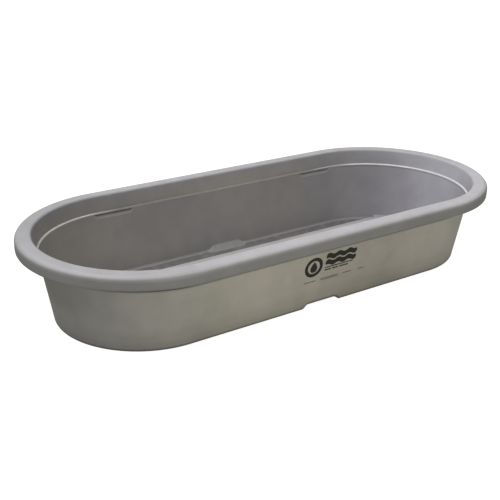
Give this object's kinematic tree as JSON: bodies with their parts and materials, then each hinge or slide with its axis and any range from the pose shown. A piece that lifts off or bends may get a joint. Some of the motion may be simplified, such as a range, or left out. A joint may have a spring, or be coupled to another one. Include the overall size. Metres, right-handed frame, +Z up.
{
  "type": "stock tank",
  "caption": "Shallow oval moulded plastic stock tank with a wide rolled rim, inner ledge, tapered walls, finger reliefs in the bottom edge and a screwed drain plug low on one end.",
  "frame": {"origin": "middle of the bottom of the whole tank, on the ground it stands on", "axes": "+X along the tank towards the end with the drain, +Y across it, +Z up"},
  "size_m": [1.83, 0.8, 0.296],
  "materials": {
    "moulded_grey": "semi-matte moulded polyethylene",
    "drain_black": "fine-textured glass-filled plastic",
    "plug_black": "satin moulded plastic",
    "seal_rubber": "matt rubber",
    "washer_steel": "plain stainless"
  },
  "bodies": {
    "tank": {"tank_shell": "moulded_grey", "drain_fitting": "drain_black", "drain_flange_gasket": "seal_rubber", "drain_washer": "washer_steel", "drain_lock_nut": "drain_black"},
    "plug_seal": {"drain_plug_seal": "seal_rubber"},
    "plug": {"drain_plug": "plug_black"}
  },
  "joints": [
    {"name": "plug_travel", "type": "slide", "parent": "tank", "child": "plug_seal", "axis": [1, 0, 0], "range_m": [0, 0.028]},
    {"name": "plug_turn", "type": "hinge", "parent": "plug_seal", "child": "plug", "pos_m": [0.838, 0, 0.052], "axis": [1, 0, 0], "range_deg": [0, 2520]}
  ],
  "couplings": [
    {"joint": "plug_turn", "follows": "plug_travel", "rad_per_m": 1570.8}
  ]
}
